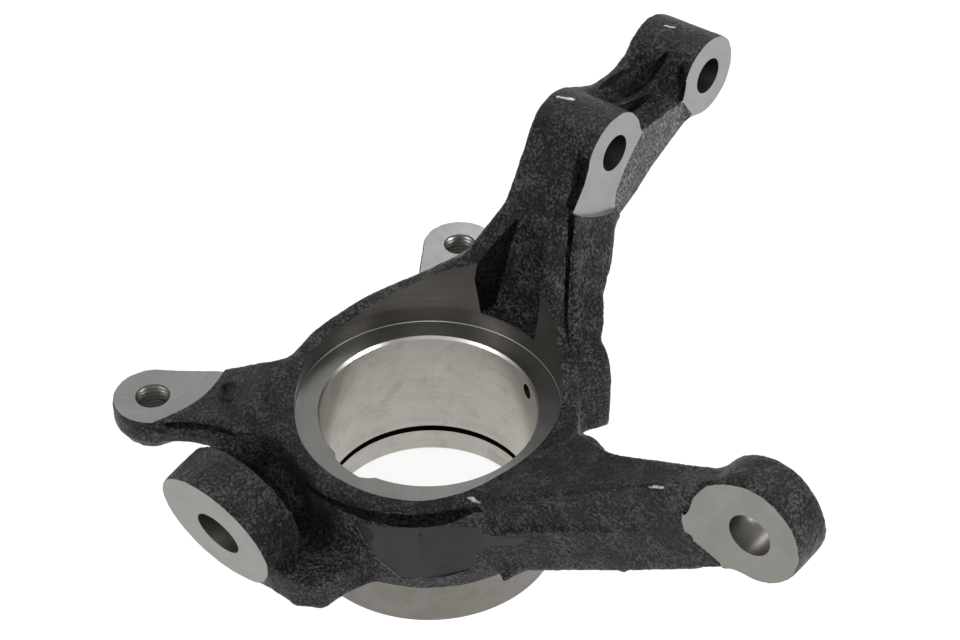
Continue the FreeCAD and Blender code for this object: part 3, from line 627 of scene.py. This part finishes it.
middleY, middleZ = strut["lowCutter"]
sweep = [(middleY + strut["lowCutterRadius"] * math.cos(math.radians(angle)),
          middleZ + strut["lowCutterRadius"] * math.sin(math.radians(angle))) for angle in range(180, 302, 2)]
faceTools = [
    # the foot is faced while the bore is still solid, and the lathe then opens it right through
    finished(rod("footCut", (0, 0, bore["foot"]), (0, 0, -1), 70, 20, sides=160), turnedBore),
    # one pass over both bosses, which leaves the cutter's round at the foot of the lower one
    finished(prism("strutCut", "YZ", sweep + [(170, 49), (170, 110), (40, 110)], strut["face"], 45), milledStrut),
    finished(rod("tieCut", (tie["x"], tie["face"], tie["z"]), (0, -1, 0), tie["cutter"], 30, sides=160),
             milledTie),
    finished(rod("ballCut", ball["hole"], ballWay, 40, 30, sides=160), milledBall),
    lathe,
]
for x, y, turn in (ears["low"], ears["high"]):
    faceTools.append(finished(
        rod("earCut", (x + ears["cutterAway"][0], y + ears["cutterAway"][1], ears["face"]), (0, 0, 1),
            ears["cutter"], 40, sides=220), milledEar))
for tool in faceTools:
    carved(casting, tool)
print("stage: faces machined,", len(casting.data.polygons), "faces")

threads = [(ears["hole"], ears["face"] + 20), (ears["hole"], ears["face"] - 0.4)]
while threads[-1][1] > -22:
    threads += [(ears["thread"], threads[-1][1] - ears["pitch"] / 2)]
    threads += [(ears["hole"], threads[-1][1] - ears["pitch"] / 2)]
holeTools = [
    rod("hole", (strut["back"] - 20, *strut["low"]), (1, 0, 0), strut["hole"], 80),
    rod("hole", (strut["back"] - 20, *strut["high"]), (1, 0, 0), strut["hole"], 80),
    rod("hole", (tie["x"], tie["face"] - 10, tie["z"]), (0, 1, 0), tie["hole"], 40),
    rod("hole", Vector(ball["hole"]) + ballWay * 5, -ballWay, ball["holeRadius"],
        ball["length"] + 5 + ball["pass"]),
    turned("thread", threads[::-1], 64, ears["low"]),
    turned("thread", threads[::-1], 64, ears["high"]),
]
for tool in holeTools:
    carved(casting, finished(tool, drilled))
carved(casting, finished(rod("scallop", bore["scallop"], (0, 0, 1), bore["scallopRadius"], 20), turnedRing))
# the sensor hole takes the painted-shade iron
carved(casting, finished(rod("sensor", (0, 0, -6.2), (0.45399, 0.891007, 0), 2.8, 90, sides=48), snapPaintedShade))

# the lathe leaves the foot of the boss as a cylinder, and a grinder the housing's front above it
sleeve = turned("sleeve", [(70, bore["foot"] - 5), (70, bore["bossTop"])])
carved(sleeve, turned("core", [(bore["boss"], bore["foot"] - 8), (bore["boss"], bore["bossTop"] + 3)]),
       keepFinish=False)
carved(casting, finished(sleeve, turnedFoot))
grinder = prism("grinder", "XY", housing["flats"], -34, 0)
carved(grinder, prism("reach", "XZ", housing["flatsReach"], -95, 0), keepFinish=False, operation="INTERSECT")
carved(casting, finished(grinder, groundSkin))

bpy.ops.object.select_all(action="DESELECT")
bpy.ops.mesh.primitive_torus_add(location=Vector(ears["mark"]) * mm, major_radius=ears["markRadius"] * mm,
                                 minor_radius=0.8 * mm, major_segments=40, minor_segments=8)
mark = finished(settle(bpy.context.object), castSkin)
carved(casting, mark, operation="UNION")
print("stage: holes and boss,", len(casting.data.polygons), "faces")

pickOnly(casting)
applied(casting, "TRIANGULATE", quad_method="SHORTEST_DIAGONAL", ngon_method="BEAUTY")
bpy.ops.object.shade_smooth_by_angle(angle=math.radians(38))
# a machined face keeps a crisp border against the cast skin
owner = {}
for face in casting.data.polygons:
    for key in face.edge_keys:
        owner.setdefault(key, set()).add(face.material_index)
for edge in casting.data.edges:
    if len(owner.get(edge.key, ())) > 1:
        edge.use_edge_sharp = True

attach(casting, "root")
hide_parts("knuckle")
print("stage: casting done,", len(casting.data.polygons), "triangles")

studio = {"floor": "#e9e9e8", "floorShade": "#808080", "floorGlow": 0.84, "floorSize": 6.0, "ambient": 0.24}


def backgroundRays(tree):
    # camera, mirror and glass rays see the plain white background
    path = addNode(tree, "ShaderNodeLightPath")
    first = addNode(tree, "ShaderNodeMath", {0: path.outputs["Is Camera Ray"],
                                             1: path.outputs["Is Glossy Ray"]}, operation="MAXIMUM")
    return addNode(tree, "ShaderNodeMath", {0: first.outputs[0], 1: path.outputs["Is Transmission Ray"]},
                   operation="MAXIMUM").outputs[0]


bpy.ops.object.select_all(action="DESELECT")
bpy.ops.mesh.primitive_plane_add(size=studio["floorSize"], location=(0, 0, bore["foot"] * mm))
floor = settle(bpy.context.object)
floor.name = "floor"
paper, tree = newMaterial("whitePaper")
pale = addNode(tree, "ShaderNodeBsdfDiffuse", {"Color": tint(studio["floor"])})
shadowed = addNode(tree, "ShaderNodeBsdfDiffuse", {"Color": tint(studio["floorShade"])})
glow = addNode(tree, "ShaderNodeEmission", {"Color": (1, 1, 1, 1), "Strength": studio["floorGlow"]})
seen = addNode(tree, "ShaderNodeAddShader", {0: shadowed.outputs[0], 1: glow.outputs[0]})
mixed = addNode(tree, "ShaderNodeMixShader", {0: backgroundRays(tree), 1: pale.outputs[0], 2: seen.outputs[0]})
addNode(tree, "ShaderNodeOutputMaterial", {"Surface": mixed.outputs[0]})
floor.data.materials.append(paper)

world = bpy.data.worlds.new("studio")
bpy.context.scene.world = world
world.use_nodes = True
tree = world.node_tree
tree.nodes.clear()
dim = addNode(tree, "ShaderNodeBackground", {"Color": (1, 1, 1, 1), "Strength": studio["ambient"]})
white = addNode(tree, "ShaderNodeBackground", {"Color": (1, 1, 1, 1), "Strength": 1.0})
sky = addNode(tree, "ShaderNodeMixShader", {0: backgroundRays(tree), 1: dim.outputs[0], 2: white.outputs[0]})
addNode(tree, "ShaderNodeOutputWorld", {"Surface": sky.outputs[0]})

lamps = {"key": {"place": (-0.35, -1.15, 0.5), "size": 0.4, "power": 19.0},
         "right": {"place": (1.2, 0.35, 0.35), "size": 0.45, "power": 25.0},
         "high": {"place": (0.5, -0.6, 1.1), "size": 0.5, "power": 5.0},
         "rim": {"place": (-0.4, 1.0, 0.8), "size": 0.4, "power": 5.0}}
for name, lamp in lamps.items():
    bpy.ops.object.light_add(type="AREA", location=lamp["place"])
    light = bpy.context.object
    light.name = name
    light.data.shape = "SQUARE"
    light.data.size = lamp["size"]
    light.data.energy = lamp["power"]
    light.rotation_euler = (-Vector(lamp["place"])).to_track_quat("-Z", "Y").to_euler()

eye = {"place": (363.02, -419.87, 512.68), "azimuth": 39.0006, "elevation": 40.4158, "roll": 0.13288,
       "lens": 81.248, "sensor": 36.0}
bpy.ops.object.camera_add(location=Vector(eye["place"]) * mm)
camera = bpy.context.object
camera.rotation_mode = "XYZ"
camera.rotation_euler = (Matrix.Rotation(math.radians(eye["azimuth"]), 3, "Z")
                         @ Matrix.Rotation(math.radians(90 - eye["elevation"]), 3, "X")
                         @ Matrix.Rotation(math.radians(eye["roll"]), 3, "Z")).to_euler()
camera.data.lens = eye["lens"]
camera.data.sensor_width = eye["sensor"]
camera.data.clip_start = 0.01
bpy.context.scene.camera = camera
bpy.context.scene.view_settings.view_transform = "Standard"

print("stage: scene ready")
